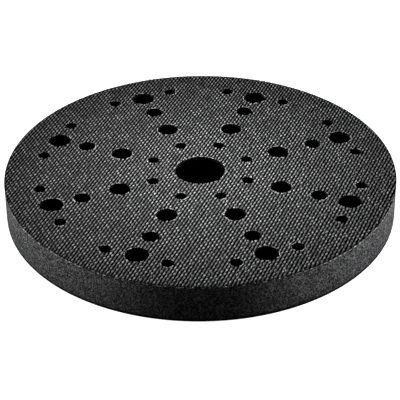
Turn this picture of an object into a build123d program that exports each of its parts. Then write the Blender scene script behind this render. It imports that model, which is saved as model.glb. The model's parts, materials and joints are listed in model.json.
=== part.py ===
from build123d import *
import os

# 150 mm soft interface pad for a random orbital sander, with a 49-hole dust pattern.
#
# The pad is a bonded laminate that lies between the sander's backing pad and an abrasive disc.
# Frame: millimetres, +Z up. The origin is the centre of the loop face, the face that the pad
# lies on, so the loop face is z = 0 and the hook face is on top.

# Driving dimensions, in mm
PAD_DIAMETER = 150.0
LOOP_PILE = 0.6
LOOP_FABRIC = 0.4
BOND_FILM = 0.2
FOAM = 13.0
HOOK_FABRIC = 0.5
HOOK_PILE = 0.5

# The layers from the bottom up: name and thickness
LAYERS = [
    ("loop_pile", LOOP_PILE),
    ("loop_fabric", LOOP_FABRIC),
    ("lower_bond_film", BOND_FILM),
    ("foam_core", FOAM),
    ("upper_bond_film", BOND_FILM),
    ("hook_fabric", HOOK_FABRIC),
    ("hook_pile", HOOK_PILE),
]

# Dust holes: eight spokes, the first one half a step round from +X
CENTRE_HOLE_RADIUS = 9.75
SPOKES = 8
SPOKE_STEP = 360 / SPOKES
FIRST_SPOKE = SPOKE_STEP / 2

# The rings that have one hole on each spoke: ring radius and hole radius
SPOKE_RINGS = [
    (19.5, 2.35),
    (33.0, 4.15),
    (48.0, 3.3),
    (60.0, 4.5),
]

# The rim ring has two small holes beside each spoke, all of them one even step apart
RIM_RING_RADIUS = 62.0
RIM_HOLE_RADIUS = 2.4
RIM_HOLES = 2 * SPOKES
RIM_STEP = 360 / RIM_HOLES
FIRST_RIM_HOLE = RIM_STEP / 2


def pad_outline():
    """The flat shape that every layer is punched to: the disc less its 49 dust holes."""
    outline = Circle(PAD_DIAMETER / 2) - Circle(CENTRE_HOLE_RADIUS)
    for ring_radius, hole_radius in SPOKE_RINGS:
        spots = PolarLocations(ring_radius, SPOKES, start_angle=FIRST_SPOKE)
        outline -= spots * Circle(hole_radius)
    rim_spots = PolarLocations(RIM_RING_RADIUS, RIM_HOLES, start_angle=FIRST_RIM_HOLE)
    outline -= rim_spots * Circle(RIM_HOLE_RADIUS)
    return outline


def layer(outline, bottom, thickness):
    """One layer of the laminate, standing on the height of the layer below."""
    return Pos(0, 0, bottom) * extrude(outline, amount=thickness)


def main():
    """Stack the layers and write each as its own STEP file."""
    os.makedirs("parts", exist_ok=True)
    outline = pad_outline()
    bottom = 0.0
    for name, thickness in LAYERS:
        solid = layer(outline, bottom, thickness)
        export_step(solid, f"parts/{name}.step")
        print(f"{name}: z {bottom:.1f} to {bottom + thickness:.1f} mm")
        bottom += thickness


main()
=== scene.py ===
"""Looks of the 150 mm foam interface pad: hooks, woven ground, foam, and the loops below.

Everything is in metres, in the CAD frame: the pad lies on z = 0 with its hook face up.
"""
import json
import math

import bpy
import numpy as np
from mathutils import Matrix, Vector, noise
from mathutils.geometry import delaunay_2d_cdt


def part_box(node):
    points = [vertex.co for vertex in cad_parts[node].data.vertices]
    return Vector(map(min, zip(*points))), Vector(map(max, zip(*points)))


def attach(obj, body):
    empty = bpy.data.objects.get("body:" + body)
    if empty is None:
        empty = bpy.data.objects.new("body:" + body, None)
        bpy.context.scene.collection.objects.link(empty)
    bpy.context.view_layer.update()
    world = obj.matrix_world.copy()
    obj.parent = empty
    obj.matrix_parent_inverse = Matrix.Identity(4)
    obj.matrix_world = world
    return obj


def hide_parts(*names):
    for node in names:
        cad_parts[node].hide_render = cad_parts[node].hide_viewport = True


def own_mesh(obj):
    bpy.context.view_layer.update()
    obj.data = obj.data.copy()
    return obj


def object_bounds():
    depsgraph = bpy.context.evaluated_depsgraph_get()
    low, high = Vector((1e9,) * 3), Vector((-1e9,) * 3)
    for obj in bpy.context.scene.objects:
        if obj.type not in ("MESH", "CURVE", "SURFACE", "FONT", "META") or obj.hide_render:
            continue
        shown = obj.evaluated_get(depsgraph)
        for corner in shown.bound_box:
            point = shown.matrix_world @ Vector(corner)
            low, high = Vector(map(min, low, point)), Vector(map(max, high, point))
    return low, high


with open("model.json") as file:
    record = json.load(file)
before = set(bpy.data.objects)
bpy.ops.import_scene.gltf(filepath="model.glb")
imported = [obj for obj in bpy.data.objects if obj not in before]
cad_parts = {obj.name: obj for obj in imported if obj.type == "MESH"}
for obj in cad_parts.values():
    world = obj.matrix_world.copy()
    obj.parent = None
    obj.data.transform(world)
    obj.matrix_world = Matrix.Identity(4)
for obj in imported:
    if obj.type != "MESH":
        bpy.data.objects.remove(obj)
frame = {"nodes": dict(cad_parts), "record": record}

CAD_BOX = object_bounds()
MM = 0.001
rng = np.random.default_rng(48)

# ---------------------------------------------------------------- the pad's outline, from the frame

MOUNTS = {mount["name"]: mount for mount in frame["record"]["mounts"]}
PAD_RADIUS = (CAD_BOX[1].x - CAD_BOX[0].x) / 2
PAD_TOP = CAD_BOX[1].z
FOAM_LOW, FOAM_HIGH = (corner.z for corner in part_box("foam_core"))
HOOK_GROUND_LOW, HOOK_GROUND_HIGH = (corner.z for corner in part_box("hook_fabric"))
LOOP_GROUND_LOW, LOOP_GROUND_HIGH = (corner.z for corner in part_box("loop_fabric"))


def dust_holes():
    """Every hole as x, y and radius. Each ring's first hole is half a step round from +X."""
    holes = [(0.0, 0.0, MOUNTS["centre_hole"]["dims"]["r_mm"] * MM)]
    for mount in MOUNTS.values():
        if mount["kind"] != "bolt_pattern":
            continue
        ring = mount["dims"]["pcd_mm"] * MM / 2
        step = 2 * math.pi / mount["dims"]["count"]
        for k in range(mount["dims"]["count"]):
            angle = (k + 0.5) * step
            holes.append((ring * math.cos(angle), ring * math.sin(angle), mount["dims"]["hole_r_mm"] * MM))
    return np.array(holes)


HOLES = dust_holes()


def inside_by(x, y, margin=0.0):
    """How far points lie inside the punched outline, in metres: negative in a hole or past the rim.
    The rim is moved in by the margin."""
    depth = PAD_RADIUS - margin - np.hypot(x, y)
    for hole_x, hole_y, radius in HOLES:
        depth = np.minimum(depth, np.hypot(x - hole_x, y - hole_y) - radius)
    return depth


# ---------------------------------------------------------------- camera

CAMERA_ELEVATION = 32.39
CAMERA_AZIMUTH = -0.33
CAMERA_ROLL = -0.48
CAMERA_DISTANCE = 0.591
CAMERA_LENS_MM = 138.5
AIM_X = -0.0003
AIM_Y = -0.0212


def make_camera():
    """The photograph's viewpoint: a long lens, a little over half a metre away, without shift."""
    data = bpy.data.cameras.new("camera")
    data.sensor_width = 36
    data.lens = CAMERA_LENS_MM
    data.clip_start = 0.01
    data.clip_end = 20
    camera = bpy.data.objects.new("camera", data)
    bpy.context.scene.collection.objects.link(camera)
    elevation = math.radians(CAMERA_ELEVATION)
    azimuth = math.radians(CAMERA_AZIMUTH)
    back = Vector((
        math.sin(azimuth) * math.cos(elevation),
        -math.cos(azimuth) * math.cos(elevation),
        math.sin(elevation),
    ))
    camera.location = Vector((0, 0, PAD_TOP)) + back * CAMERA_DISTANCE
    aim = Vector((AIM_X, AIM_Y, PAD_TOP))
    turn = (aim - camera.location).to_track_quat("-Z", "Y").to_matrix()
    camera.rotation_euler = (turn @ Matrix.Rotation(math.radians(CAMERA_ROLL), 3, "Z")).to_euler()
    bpy.context.scene.camera = camera


make_camera()


# ---------------------------------------------------------------- mesh helpers


def new_object(name, points, faces, flat_blocks=(), second_blocks=()):
    """A mesh object from an (n, 3) array and a list of (m, k) arrays of corner indices. Blocks named
    in flat_blocks, by their place in the list, are shaded flat and the others smooth. Blocks named in
    second_blocks take the object's second material."""
    mesh = bpy.data.meshes.new(name)
    corners = np.concatenate([block.ravel() for block in faces])
    sizes = np.concatenate([np.full(len(block), block.shape[1]) for block in faces])
    starts = np.concatenate([[0], np.cumsum(sizes)[:-1]])
    mesh.vertices.add(len(points))
    mesh.vertices.foreach_set("co", np.asarray(points, np.float32).ravel())
    mesh.loops.add(len(corners))
    mesh.loops.foreach_set("vertex_index", corners.astype(np.int32))
    mesh.polygons.add(len(sizes))
    mesh.polygons.foreach_set("loop_start", starts.astype(np.int32))
    smooth = np.concatenate([np.full(len(block), k not in flat_blocks) for k, block in enumerate(faces)])
    mesh.polygons.foreach_set("use_smooth", smooth)
    second = np.concatenate([np.full(len(block), k in second_blocks) for k, block in enumerate(faces)])
    mesh.polygons.foreach_set("material_index", second.astype(np.int32))
    mesh.update(calc_edges=True)
    mesh.validate()
    piece = bpy.data.objects.new(name, mesh)
    bpy.context.scene.collection.objects.link(piece)
    return piece


def swept(paths, half, sideways, sides):
    """Closed tubes along many paths of equal length. paths is (n, m, 3); half is (n, m, 2), the half
    width and half height at each point; sideways is (n, 2), the direction of each tube's width."""
    count, steps = paths.shape[:2]
    along = np.gradient(paths, axis=1)
    along /= np.linalg.norm(along, axis=2, keepdims=True)
    side = np.concatenate([sideways, np.zeros((count, 1))], 1)[:, None] * np.ones((1, steps, 1))
    side -= along * (side * along).sum(2, keepdims=True)
    side /= np.linalg.norm(side, axis=2, keepdims=True)
    over = np.cross(along, side)
    angle = 2 * math.pi * np.arange(sides) / sides
    ring = (
        side[:, :, None] * (half[:, :, None, :1] * np.cos(angle)[None, None, :, None])
        + over[:, :, None] * (half[:, :, None, 1:] * np.sin(angle)[None, None, :, None])
    )
    points = (paths[:, :, None] + ring).reshape(-1, 3)
    index = np.arange(count * steps * sides).reshape(count, steps, sides)
    here, there = index[:, :-1], index[:, 1:]
    walls = np.stack([here, np.roll(here, -1, 2), np.roll(there, -1, 2), there], 3)
    return points, [walls.reshape(-1, 4), index[:, 0, ::-1], index[:, -1]]


def circle_points(centre_x, centre_y, radius, count):
    """Points round a circle, anticlockwise."""
    angle = 2 * math.pi * np.arange(count) / count
    return np.stack([centre_x + radius * np.cos(angle), centre_y + radius * np.sin(angle)], 1)


# How finely the two fabrics and the pile mat are divided: round the walls and up them
PLATE_SPACING = 0.5 * MM
PLATE_ROWS = 2


def punched_plate(name, low, high, spacing, rows, bend=None, inset=0.0, second_blocks=()):
    """A closed plate of the pad's outline, with its walls divided into rows. bend(points, normals)
    moves the wall points. Its blocks are 0 the rim, 1 the hole walls, 2 the top and 3 the underside."""
    loops = [(0.0, 0.0, PAD_RADIUS - inset, 1)]
    loops += [(x, y, radius + inset, -1) for x, y, radius in HOLES]
    points, normals, walls, rims = [], [], [], []
    flat, edges = [], []
    start = 0
    heights = np.linspace(low, high, rows + 1)
    for x, y, radius, facing in loops:
        count = max(24, int(2 * math.pi * radius / spacing))
        ring = circle_points(x, y, radius, count)
        out = (ring - (x, y)) / radius * facing
        for height in heights:
            points.append(np.column_stack([ring, np.full(count, height)]))
            normals.append(np.column_stack([out, np.zeros(count)]))
        index = start + np.arange((rows + 1) * count).reshape(rows + 1, count)
        around = np.roll(index, -1, 1)
        wall = np.stack([index[:-1], around[:-1], around[1:], index[1:]], 2).reshape(-1, 4)
        walls.append(wall if facing > 0 else wall[:, ::-1])
        rims.append((index[0], index[-1]))
        first = len(flat)
        flat += [Vector(p) for p in ring]
        edges += [(first + k, first + (k + 1) % count) for k in range(count)]
        start += index.size
    points, normals = np.concatenate(points), np.concatenate(normals)
    low_rim = np.concatenate([rim[0] for rim in rims])
    high_rim = np.concatenate([rim[1] for rim in rims])
    faces = delaunay_2d_cdt(flat, edges, [], 0, 1e-7)[2]
    cap = np.array([face for face in faces if len(face) == 3])
    middle = points[low_rim][cap].mean(1)
    cap = cap[inside_by(middle[:, 0], middle[:, 1]) > -inset / 2 - 1e-6]
    if bend:
        points = bend(points, normals)
    blocks = [walls[0], np.concatenate(walls[1:]), high_rim[cap], low_rim[cap][:, ::-1]]
    return new_object(name, points, blocks, (2, 3), second_blocks)


# ---------------------------------------------------------------- materials


class Nodes:
    """A short way to build one material's nodes."""

    def __init__(self, name):
        self.material = bpy.data.materials.new(name)
        self.material.use_nodes = True
        self.tree = self.material.node_tree
        self.shader = self.tree.nodes["Principled BSDF"]
        self.where = self.add("ShaderNodeTexCoord").outputs["Object"]

    def add(self, kind, **settings):
        """A node with its settings."""
        node = self.tree.nodes.new(kind)
        for key, value in settings.items():
            setattr(node, key, value)
        return node

    def link(self, out, into):
        """Joins an output to an input."""
        self.tree.links.new(out, into)

    def noise(self, scale, detail=2.0, roughness=0.5):
        """Noise over the object's own place, in repeats per metre."""
        node = self.add("ShaderNodeTexNoise")
        node.inputs["Scale"].default_value = scale
        node.inputs["Detail"].default_value = detail
        node.inputs["Roughness"].default_value = roughness
        self.link(self.where, node.inputs["Vector"])
        return node.outputs["Fac"]

    def cells(self, scale):
        """A random value for each cell of the given size, in cells per metre."""
        node = self.add("ShaderNodeTexVoronoi")
        node.inputs["Scale"].default_value = scale
        self.link(self.where, node.inputs["Vector"])
        return node.outputs["Color"]

    def height(self, low, high):
        """Rises from low at the foam's foot to high at its top."""
        split = self.add("ShaderNodeSeparateXYZ")
        self.link(self.where, split.inputs[0])
        node = self.add("ShaderNodeMapRange")
        node.inputs["From Min"].default_value = FOAM_LOW
        node.inputs["From Max"].default_value = FOAM_HIGH
        node.inputs["To Min"].default_value = low
        node.inputs["To Max"].default_value = high
        self.link(split.outputs["Z"], node.inputs["Value"])
        return node.outputs["Result"]

    def scaled(self, colour, factor):
        """A colour times a number."""
        node = self.add("ShaderNodeVectorMath", operation="SCALE")
        self.link(colour, node.inputs[0])
        self.link(factor, node.inputs["Scale"])
        return node.outputs["Vector"]

    def ramp(self, factor, stops):
        """A colour ramp: stops are (place, colour)."""
        node = self.add("ShaderNodeValToRGB")
        elements = node.color_ramp.elements
        while len(elements) < len(stops):
            elements.new(0.5)
        for element, (place, colour) in zip(elements, stops):
            element.position = place
            element.color = (*colour, 1)
        self.link(factor, node.inputs["Fac"])
        return node.outputs["Color"]

    def spread(self, factor, low, high):
        """Maps 0 to 1 onto low to high."""
        node = self.add("ShaderNodeMapRange")
        node.inputs["To Min"].default_value = low
        node.inputs["To Max"].default_value = high
        self.link(factor, node.inputs["Value"])
        return node.outputs["Result"]

    def bump(self, height, depth):
        """Bump from a height of 0 to 1 over a depth in metres."""
        node = self.add("ShaderNodeBump")
        node.inputs["Strength"].default_value = 1.0
        node.inputs["Distance"].default_value = depth
        self.link(height, node.inputs["Height"])
        self.link(node.outputs["Normal"], self.shader.inputs["Normal"])

    def set(self, **values):
        """Constants, straight on the shader."""
        for key, value in values.items():
            self.shader.inputs[key.replace("_", " ")].default_value = value


def grey(value, blue=1.03):
    """A dark grey with a trace of blue."""
    return (value, value, value * blue)


def foam_material():
    """Charcoal open-cell foam: dark pits between paler cut cell walls, matte, with painted shade that
    darkens it towards its foot.
    """
    made = Nodes("foam_charcoal")
    cells = made.ramp(made.cells(2600), [(0.15, grey(0.010)), (0.5, grey(0.045)), (0.85, grey(0.24))])
    blotches = made.spread(made.noise(260, detail=2), 0.9, 1.12)
    # Painted shade and light: the colour is scaled from 0.75 at the foam's foot to 1.3 at its top
    colour = made.scaled(made.scaled(cells, blotches), made.height(0.75, 1.3))
    made.link(colour, made.shader.inputs["Base Color"])
    made.set(Roughness=0.95, Specular_IOR_Level=0.12)
    made.bump(made.noise(2600, detail=4, roughness=0.7), 0.0004)
    return made.material


def hole_shade_material():
    """Hole walls: the same foam, painted near black as the shade that fills the holes."""
    made = Nodes("foam_hole_painted_shade")
    made.link(made.ramp(made.noise(1800, detail=3), [(0.35, grey(0.001)), (0.65, grey(0.003))]),
              made.shader.inputs["Base Color"])
    made.set(Roughness=1.0, Specular_IOR_Level=0.0)
    made.bump(made.noise(2600, detail=4, roughness=0.7), 0.0004)
    return made.material


def hook_nylon_and_sheen_material():
    """Hooks: extruded black nylon with a dull gloss, its colour raised to grey as a painted highlight, in a
    tone that differs at random.
    """
    made = Nodes("hook_nylon_black_painted_sheen")
    tone_and_sheen = made.noise(420, detail=1)
    # Painted highlight: the black nylon is coloured grey so the hooks show brighter than the strands
    made.link(made.ramp(tone_and_sheen, [(0.35, grey(0.06)), (0.65, grey(0.30))]), made.shader.inputs["Base Color"])
    made.set(Roughness=0.35, Specular_IOR_Level=0.6)
    return made.material


def ground_and_shade_material(name, low, high):
    """The knitted ground: matt black yarn that gives back almost no light, near black partly for its own
    colour and partly as painted shade in the gaps between the hook rows and along the pad's foot.
    """
    made = Nodes(name)
    made.link(made.ramp(made.noise(2000, detail=2), [(0.3, grey(low)), (0.7, grey(high))]),
              made.shader.inputs["Base Color"])
    made.set(Roughness=1.0, Specular_IOR_Level=0.0)
    made.bump(made.noise(4200, detail=2, roughness=0.6), 0.0001)
    return made.material


def strand_material():
    """Yarn strands: black nylon filament with a satin gloss."""
    made = Nodes("hook_strand_black")
    made.link(made.ramp(made.noise(1500, detail=1), [(0.35, grey(0.005)), (0.65, grey(0.020))]),
              made.shader.inputs["Base Color"])
    made.set(Roughness=0.45, Specular_IOR_Level=0.5)
    return made.material


def edge_and_glint_material():
    """The fabric's cut edge round the rim: slightly glazed black thread ends, with pale flecks painted on as
    glints of the side light.
    """
    made = Nodes("hook_fabric_cut_edge_painted_glint")
    made.link(made.ramp(made.noise(800, detail=3, roughness=0.7), [(0.50, grey(0.03)), (0.62, grey(0.85))]),
              made.shader.inputs["Base Color"])
    made.set(Roughness=0.6, Specular_IOR_Level=0.3)
    return made.material


def thread_glint_material():
    """Cut thread ends: black filament coloured pale as painted glints of light on its cut ends."""
    made = Nodes("hook_thread_ends_painted_glint")
    made.link(made.ramp(made.noise(700, detail=1), [(0.35, grey(0.15)), (0.65, grey(0.65))]),
              made.shader.inputs["Base Color"])
    made.set(Roughness=0.45, Specular_IOR_Level=0.5)
    return made.material


def film_material():
    """The bond film: a thin black adhesive line."""
    made = Nodes("bond_film_black")
    made.link(made.ramp(made.noise(1500, detail=2), [(0.3, grey(0.008)), (0.7, grey(0.02))]),
              made.shader.inputs["Base Color"])
    made.set(Roughness=0.55, Specular_IOR_Level=0.3)
    made.bump(made.noise(3000, detail=2), 0.00008)
    return made.material


def dress(piece, *materials):
    """Gives a piece its material, or its first and second."""
    slots = piece.data.materials
    for k, material in enumerate(materials):
        if k < len(slots):
            slots[k] = material
        else:
            slots.append(material)


# ---------------------------------------------------------------- foam core

FOAM_SPACING = 0.42 * MM
FOAM_ROWS = 26
FOAM_ROUGHNESS = 0.07 * MM
FOAM_SET_BACK = 0.03 * MM
BONDED_MARGIN = 0.4 * MM


def cut_cells(points, normals):
    """Pits and peaks of cut foam cells on the walls, fading out at the two bonded faces."""
    high = np.clip(np.minimum(points[:, 2] - FOAM_LOW, FOAM_HIGH - points[:, 2]) / BONDED_MARGIN, 0, 1)
    shift = np.zeros(len(points))
    for k, point in enumerate(points):
        place = Vector(point)
        shift[k] = 0.35 * noise.noise(place * 1100) + 0.65 * noise.noise(place * 2300)
    return points + normals * ((shift * FOAM_ROUGHNESS - FOAM_SET_BACK) * high)[:, None]


def make_foam():
    """The foam, with the side and every hole wall as a fine mesh."""
    foam = punched_plate("foam_body", FOAM_LOW, FOAM_HIGH, FOAM_SPACING, FOAM_ROWS, cut_cells,
                         second_blocks=(1,))
    # The hole walls take a near-black colour that is painted shade
    dress(foam, foam_material(), hole_shade_material())
    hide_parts("foam_core")
    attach(foam, "backing")
    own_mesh(foam)
    return foam


# ---------------------------------------------------------------- hook face

ROW_ANGLE = math.radians(68.3)
ROW_PITCH = 1.234 * MM
HOOK_PITCH = 2.40 * MM
SWING = 0.08 * MM
RUFFLE_WAVES = (2.9 * MM, 4.3 * MM, 7.7 * MM)
# How far each wave moves on from one row to the next, in radians per metre of wavelength
ROW_SHIFT = 1e4
CALM = 0.015 * MM
RUFFLED = 0.03 * MM
STRAND_LEVEL = 0.10 * MM
STRAND_SAMPLES = 8
STRAND_SIDES = 6
# Each is the least value, between two hooks, and what a hook adds to it
STRAND_HALF_WIDTH = (0.19 * MM, 0.08 * MM)
STRAND_HALF_HEIGHT = (0.14 * MM, 0.06 * MM)
STRAND_LIFT = (0.02 * MM, 0.05 * MM)
STRAND_PIECES = 3
RIM_GAP = 0.30 * MM
HOOK_GAP = 0.25 * MM

ALONG = np.array([math.cos(ROW_ANGLE), math.sin(ROW_ANGLE)])
ACROSS = np.array([-math.sin(ROW_ANGLE), math.cos(ROW_ANGLE)])


def phase(row, place):
    """Where a place in a row lies between two hooks, as an angle: 0 at a hook. Rows are staggered."""
    return 2 * math.pi * (place / HOOK_PITCH - 0.5 * (row % 2))


def wear(x, y):
    """The face is more ruffled towards its front right: 0 where it is calm and 1 where it is worst."""
    return np.clip(0.5 + (x - y) / (2.2 * PAD_RADIUS), 0, 1) ** 2


def ruffle(row, place):
    """How far a strand strays from its row, as a sum of waves that differ from row to row."""
    spot = place[..., None] * ALONG + row * ROW_PITCH * ACROSS
    strayed = sum(np.sin(place * 2 * math.pi / wave + row * wave * ROW_SHIFT) for wave in RUFFLE_WAVES)
    return (CALM + (RUFFLED - CALM) * wear(spot[..., 0], spot[..., 1])) * strayed


def row_line(row, place):
    """The strand's line: it bows to one side of its row between two hooks."""
    aside = row * ROW_PITCH - SWING * np.cos(phase(row, place) - 0.4) + ruffle(row, place)
    return place[..., None] * ALONG + aside[..., None] * ACROSS


def row_numbers():
    """Row numbers across the whole pad."""
    reach = int(PAD_RADIUS / ROW_PITCH)
    return range(-reach, reach + 1)


def strand_runs():
    """The stretches of strand that lie on the pad: each is a row number and its places."""
    step = HOOK_PITCH / STRAND_SAMPLES
    reach = int(PAD_RADIUS / step) + 2
    place = np.arange(-reach, reach + 1) * step
    runs = []
    for row in row_numbers():
        spots = row_line(row, place)
        room = inside_by(spots[:, 0], spots[:, 1], RIM_GAP)
        ends = np.flatnonzero(np.diff((room > 0).astype(int)))
        for before, last in zip(ends[::2], ends[1::2]):
            if last - before < 3:
                continue
            first_part = step * room[before + 1] / (room[before + 1] - room[before])
            last_part = step * room[last] / (room[last] - room[last + 1])
            run = place[before + 1:last + 1]
            runs.append((row, np.concatenate([[run[0] - first_part], run, [run[-1] + last_part]])))
    return runs


def swollen(measure, swell):
    """A measure between two hooks, plus what it gains where the strand is swollen by a hook."""
    least, gain = measure
    return least + gain * swell


def make_strands(material):
    """The yarn strands that hold the hooks: thick and high under each hook, thin between two."""
    runs = strand_runs()
    made = []
    bounds = np.linspace(0, len(runs), STRAND_PIECES + 1).astype(int)
    for part in range(STRAND_PIECES):
        points, quads, caps = [], [], []
        start = 0
        for row, place in runs[bounds[part]:bounds[part + 1]]:
            swell = 0.5 + 0.5 * np.cos(phase(row, place))
            level = HOOK_GROUND_HIGH + STRAND_LEVEL + swollen(STRAND_LIFT, swell)
            path = np.column_stack([row_line(row, place), level])[None]
            half = np.stack([swollen(STRAND_HALF_WIDTH, swell), swollen(STRAND_HALF_HEIGHT, swell)], 1)
            beside = np.broadcast_to(ACROSS, (1, 2))
            tube, (wall, low_cap, high_cap) = swept(path, half[None], beside, STRAND_SIDES)
            points.append(tube)
            quads.append(wall + start)
            caps += [low_cap + start, high_cap + start]
            start += len(tube)
        strand = new_object(f"hook_ground_strands_{part + 1}", np.concatenate(points),
                            [np.concatenate(quads), np.concatenate(caps)])
        dress(strand, material)
        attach(strand, "hook_face")
        made.append(strand)
    return made


def hook_spots():
    """Where hooks stand, as row number and place in the row."""
    reach = int(PAD_RADIUS / HOOK_PITCH) + 1
    found = []
    for row in row_numbers():
        place = (np.arange(-reach, reach + 1) + 0.5 * (row % 2)) * HOOK_PITCH
        spots = row_line(row, place)
        on_pad = inside_by(spots[:, 0], spots[:, 1], RIM_GAP) > HOOK_GAP
        found += [(row, spot) for spot in place[on_pad]]
    return np.array(found)


# One hook in its own plane: distance along the row, height over the ground and half width, in mm
HOOK_SHAPE = [
    (-0.60, 0.10, 0.08),
    (-0.55, 0.22, 0.12),
    (-0.38, 0.34, 0.18),
    (-0.12, 0.41, 0.26),
    (0.12, 0.42, 0.31),
    (0.30, 0.38, 0.30),
    (0.42, 0.26, 0.24),
    (0.45, 0.12, 0.12),
]
HOOK_TURN = math.radians(8)
HOOK_STRAY_CALM = 0.05 * MM
HOOK_STRAY_RUFFLED = 0.14 * MM
HOOK_FLATNESS = 0.45
HOOK_SIDES = 6
HOOK_PIECES = 4
HOOK_ANGLE_SPREAD = math.radians(8)
HOOK_LEAN_SPREAD = 0.12


def jitter(count, mean, spread, least, most):
    """Random factors that keep within two limits."""
    return np.clip(rng.normal(mean, spread, count), least, most)


def make_hooks(material):
    """The nylon hooks, each bent over along its strand, with small differences from hook to hook."""
    spots = hook_spots()
    shape = np.array(HOOK_SHAPE) * MM
    count = len(spots)
    angle = ROW_ANGLE - HOOK_TURN + rng.normal(0, HOOK_ANGLE_SPREAD, count)
    lean = rng.normal(0, HOOK_LEAN_SPREAD, count)
    tall = jitter(count, 1.0, 0.06, 0.82, 1.12)
    long = jitter(count, 0.86, 0.12, 0.6, 1.2)
    wide = jitter(count, 0.82, 0.12, 0.55, 1.15)
    heading = np.stack([np.cos(angle), np.sin(angle)], 1)
    beside = np.stack([-np.sin(angle), np.cos(angle)], 1)
    foot = np.array([row_line(row, np.array([place]))[0] for row, place in spots])
    stray = HOOK_STRAY_CALM + (HOOK_STRAY_RUFFLED - HOOK_STRAY_CALM) * wear(foot[:, 0], foot[:, 1])
    foot += rng.normal(0, 1, (count, 2)) * stray[:, None]
    run = shape[None, :, 0] * long[:, None]
    height = shape[None, :, 1] * tall[:, None]
    aside = lean[:, None] * height
    flat = foot[:, None] + run[:, :, None] * heading[:, None] + aside[:, :, None] * beside[:, None]
    path = np.concatenate([flat, (HOOK_GROUND_HIGH + height)[:, :, None]], 2)
    half = shape[None, :, 2] * wide[:, None]
    half = np.stack([half, half * HOOK_FLATNESS], 2)
    made = []
    bounds = np.linspace(0, count, HOOK_PIECES + 1).astype(int)
    for part in range(HOOK_PIECES):
        chosen = slice(bounds[part], bounds[part + 1])
        points, faces = swept(path[chosen], half[chosen], beside[chosen], HOOK_SIDES)
        hooks = new_object(f"hooks_{part + 1}", points, faces)
        dress(hooks, material)
        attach(hooks, "hook_face")
        made.append(hooks)
    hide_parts("hook_pile")
    return made


CUT_END_SPACING = 1.0 * MM
CUT_END_INSIDE_RIM = 0.1 * MM
CUT_END_OUTSIDE_HOLE = 0.12 * MM
CUT_END_SIDES = 5
CUT_END_RUN = np.array([-1.0, -0.6, 0.6, 1.0])
CUT_END_HALF = np.array([0.04, 0.13, 0.13, 0.04]) * MM


def make_cut_ends(material):
    """Cut thread ends round every hole's edge and on the fabric's cut edge at the rim, coloured pale as
    painted glints.
    """
    spots, headings, levels = [], [], []
    for x, y, radius in np.vstack([HOLES, [(0, 0, PAD_RADIUS)]]):
        at_rim = radius == PAD_RADIUS
        count = int(2 * math.pi * radius / CUT_END_SPACING)
        angle = rng.uniform(0, 2 * math.pi, count)
        out = radius - CUT_END_INSIDE_RIM if at_rim else radius + CUT_END_OUTSIDE_HOLE
        spots.append(np.stack([x + out * np.cos(angle), y + out * np.sin(angle)], 1))
        headings.append(angle + math.pi / 2 if at_rim else rng.normal(ROW_ANGLE, 0.5, count))
        low = -0.30 if at_rim else 0.10
        levels.append(HOOK_GROUND_HIGH + rng.uniform(low, low + 0.25, count) * MM)
    spots, headings, levels = np.concatenate(spots), np.concatenate(headings), np.concatenate(levels)
    count = len(spots)
    heading = np.stack([np.cos(headings), np.sin(headings)], 1)
    beside = np.stack([-np.sin(headings), np.cos(headings)], 1)
    half_length = rng.uniform(0.10, 0.30, count) * MM
    run = CUT_END_RUN[None] * half_length[:, None]
    flat = spots[:, None] + run[:, :, None] * heading[:, None]
    path = np.concatenate([flat, np.broadcast_to(levels[:, None, None], (count, 4, 1))], 2)
    half = np.broadcast_to(CUT_END_HALF[None, :, None], (count, 4, 2)) * rng.uniform(0.7, 1.2, (count, 1, 1))
    points, faces = swept(path, half, beside, CUT_END_SIDES)
    ends = new_object("hook_cut_ends", points, faces)
    dress(ends, material)
    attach(ends, "hook_face")
    return ends


def make_hook_face():
    """The ground fabric with its strands, hooks and cut thread ends."""
    # Near black: partly the yarn's own colour, partly painted shade in the gaps between the hook rows
    ground_and_shade_look = ground_and_shade_material("hook_ground_black_and_shade", 0.002, 0.004)
    ground = punched_plate("hook_ground", HOOK_GROUND_LOW, HOOK_GROUND_HIGH, PLATE_SPACING, PLATE_ROWS,
                           second_blocks=(0,))
    # The rim wall takes the cut edge, whose pale flecks are painted glints
    dress(ground, ground_and_shade_look, edge_and_glint_material())
    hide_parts("hook_fabric")
    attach(ground, "hook_face")
    strands = make_strands(strand_material())
    hooks = make_hooks(hook_nylon_and_sheen_material())
    # The cut ends' pale colour is painted glints
    ends = make_cut_ends(thread_glint_material())


# ---------------------------------------------------------------- loop face

LOOP_COUNT = 5200
LOOP_INSET = 0.05 * MM
LOOP_MAT_LOW = 0.12 * MM
LOOP_RIM_ROOM = 0.3 * MM
LOOP_EDGE_ROOM = 0.5 * MM
LOOP_ROOT = 0.08 * MM
LOOP_HALF = 0.07 * MM
LOOP_SAMPLES = 5
LOOP_SIDES = 4
LOOP_SPARE = 1.6


def make_loop_mat(material):
    """The dense foot of the brushed pile, a mat that the loops stand out of."""
    mat = punched_plate("loop_pile_mat", LOOP_MAT_LOW, LOOP_GROUND_LOW, PLATE_SPACING, PLATE_ROWS,
                        inset=LOOP_INSET)
    dress(mat, material)
    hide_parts("loop_pile")
    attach(mat, "backing")
    return mat


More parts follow.
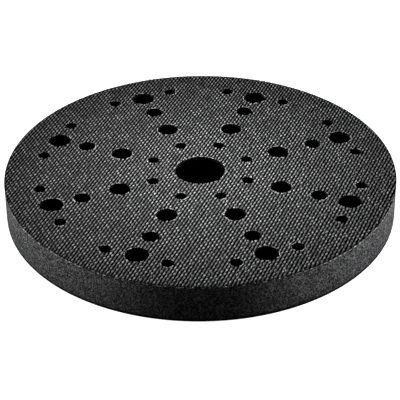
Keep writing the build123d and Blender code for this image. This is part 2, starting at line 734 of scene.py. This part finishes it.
def make_loops(material):
    """Brushed loops under the pad: small arches that lean every way."""
    reach = PAD_RADIUS - LOOP_RIM_ROOM
    spots = rng.uniform(-reach, reach, (int(LOOP_COUNT * LOOP_SPARE), 2))
    spots = spots[inside_by(spots[:, 0], spots[:, 1]) > LOOP_EDGE_ROOM][:LOOP_COUNT]
    count = len(spots)
    angle = rng.uniform(0, 2 * math.pi, count)
    heading = np.stack([np.cos(angle), np.sin(angle)], 1)
    beside = np.stack([-np.sin(angle), np.cos(angle)], 1)
    wide = rng.uniform(0.45, 0.95, count) * MM
    drop = rng.uniform(0.78, 0.88, count) * LOOP_GROUND_LOW
    lean = rng.normal(0, 0.5, count)
    sweep = np.linspace(0, math.pi, LOOP_SAMPLES)
    run = -np.cos(sweep)[None] * wide[:, None]
    down = np.sin(sweep)[None] * drop[:, None] - LOOP_ROOT
    aside = lean[:, None] * down
    flat = spots[:, None] + run[:, :, None] * heading[:, None] + aside[:, :, None] * beside[:, None]
    path = np.concatenate([flat, (LOOP_GROUND_LOW - down)[:, :, None]], 2)
    half = np.full((count, LOOP_SAMPLES, 2), LOOP_HALF)
    points, faces = swept(path, half, beside, LOOP_SIDES)
    loops = new_object("loop_pile_loops", points, faces)
    dress(loops, material)
    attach(loops, "backing")
    return loops


def make_loop_face():
    """The loop fabric and its brushed pile, dark partly for their own colour and partly as painted shade
    along the pad's foot.
    """
    # Dark: partly the fabric's own colour, partly painted shade along the pad's foot
    loop_ground_and_shade_look = ground_and_shade_material("loop_ground_black_and_shade", 0.006, 0.014)
    ground = punched_plate("loop_ground", LOOP_GROUND_LOW, LOOP_GROUND_HIGH, PLATE_SPACING, PLATE_ROWS,
                           inset=LOOP_INSET)
    dress(ground, loop_ground_and_shade_look)
    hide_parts("loop_fabric")
    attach(ground, "backing")
    # Dark: partly the pile's own colour, partly painted shade along the pad's foot
    pile_and_shade_look = ground_and_shade_material("loop_pile_black_and_shade", 0.010, 0.030)
    mat = make_loop_mat(pile_and_shade_look)
    loops = make_loops(pile_and_shade_look)


# ---------------------------------------------------------------- stage

FLOOR_SIDE = 12.0
WORLD = 0.058
LEFT = 9.0
RIGHT = 11.0
WIDE = 43.0
NARROW = 18.0
LAMP_AIM_Y = -0.003
LAMP_PLACE = (0, 0.155, 0.58)
LAMP_SIZE = 0.01
WIDE_CONE = 17
NARROW_CONE = 8
BOX_X, BOX_Y, BOX_Z = 0.873, 0.154, 0.156
BOX_SIZE = (0.3, 0.3)


def make_floor():
    """A plain white floor that glows, so the pad throws no visible shadow on it. Light that bounces
    off the pad never meets it."""
    half = FLOOR_SIDE / 2
    points = np.array([(-half, -half, 0), (half, -half, 0), (half, half, 0), (-half, half, 0)], float)
    floor = new_object("floor", points, [np.array([[0, 1, 2, 3]])], (0,))
    made = Nodes("floor_white")
    made.set(Roughness=0.9, Specular_IOR_Level=0.0, Emission_Strength=1.0)
    made.shader.inputs["Base Color"].default_value = (0.9, 0.9, 0.9, 1)
    made.shader.inputs["Emission Color"].default_value = (1, 1, 1, 1)
    dress(floor, made.material)
    floor.visible_diffuse = False
    floor.visible_glossy = False


def softbox(name, place, power):
    """A square softbox that points at the middle of the pad's foot."""
    data = bpy.data.lights.new(name, "AREA")
    data.shape = "RECTANGLE"
    data.size, data.size_y = BOX_SIZE
    data.energy = power
    lamp = bpy.data.objects.new(name, data)
    lamp.location = place
    lamp.rotation_euler = (-Vector(place)).to_track_quat("-Z", "Y").to_euler()
    bpy.context.scene.collection.objects.link(lamp)


def make_backdrop():
    """A white dome round the stage, which only the camera sees."""
    rings, around = 12, 48
    radius = FLOOR_SIDE / 2
    points = [(0.0, 0.0, radius)]
    for ring in range(1, rings + 1):
        polar = math.pi / 2 * ring / rings * 1.02
        for k in range(around):
            turn = 2 * math.pi * k / around
            points.append((
                radius * math.sin(polar) * math.cos(turn),
                radius * math.sin(polar) * math.sin(turn),
                radius * math.cos(polar),
            ))
    index = 1 + np.arange(rings * around).reshape(rings, around)
    around_index = np.roll(index, -1, 1)
    top = np.stack([np.zeros(around, int), index[0], around_index[0]], 1)
    walls = np.stack([index[:-1], index[1:], around_index[1:], around_index[:-1]], 2).reshape(-1, 4)
    dome = new_object("backdrop", np.array(points), [top, walls])
    made = Nodes("backdrop_white")
    made.set(Roughness=1.0, Specular_IOR_Level=0.0, Emission_Strength=1.0)
    made.shader.inputs["Emission Color"].default_value = (1, 1, 1, 1)
    dress(dome, made.material)
    for ray in ("diffuse", "glossy", "transmission", "volume_scatter", "shadow"):
        setattr(dome, f"visible_{ray}", False)


def overhead(name, cone, power):
    """A lamp with a soft-edged cone, high over the back of the pad and aimed just before its centre."""
    data = bpy.data.lights.new(name, "SPOT")
    data.energy = power
    data.spot_size = math.radians(cone)
    data.spot_blend = 1.0
    data.shadow_soft_size = LAMP_SIZE
    lamp = bpy.data.objects.new(name, data)
    lamp.location = LAMP_PLACE
    aim = Vector((0, LAMP_AIM_Y, PAD_TOP))
    lamp.rotation_euler = (aim - lamp.location).to_track_quat("-Z", "Y").to_euler()
    bpy.context.scene.collection.objects.link(lamp)


def make_lights():
    """Softboxes low at the left and right, and overhead lamps that fade out towards the rim."""
    world = bpy.data.worlds.new("studio")
    world.use_nodes = True
    world.node_tree.nodes["Background"].inputs["Color"].default_value = (1, 1, 1, 1)
    world.node_tree.nodes["Background"].inputs["Strength"].default_value = WORLD
    bpy.context.scene.world = world
    softbox("left_box", (-BOX_X, BOX_Y, BOX_Z), LEFT)
    softbox("right_box", (BOX_X, BOX_Y, BOX_Z), RIGHT)
    overhead("wide_lamp", WIDE_CONE, WIDE)
    overhead("narrow_lamp", NARROW_CONE, NARROW)


# ---------------------------------------------------------------- the scene

make_foam()
make_hook_face()
make_loop_face()
dress(frame["nodes"]["upper_bond_film"], film_material())
dress(frame["nodes"]["lower_bond_film"], frame["nodes"]["upper_bond_film"].data.materials[0])
make_floor()
make_backdrop()
make_lights()
bpy.context.scene.view_settings.view_transform = "Standard"
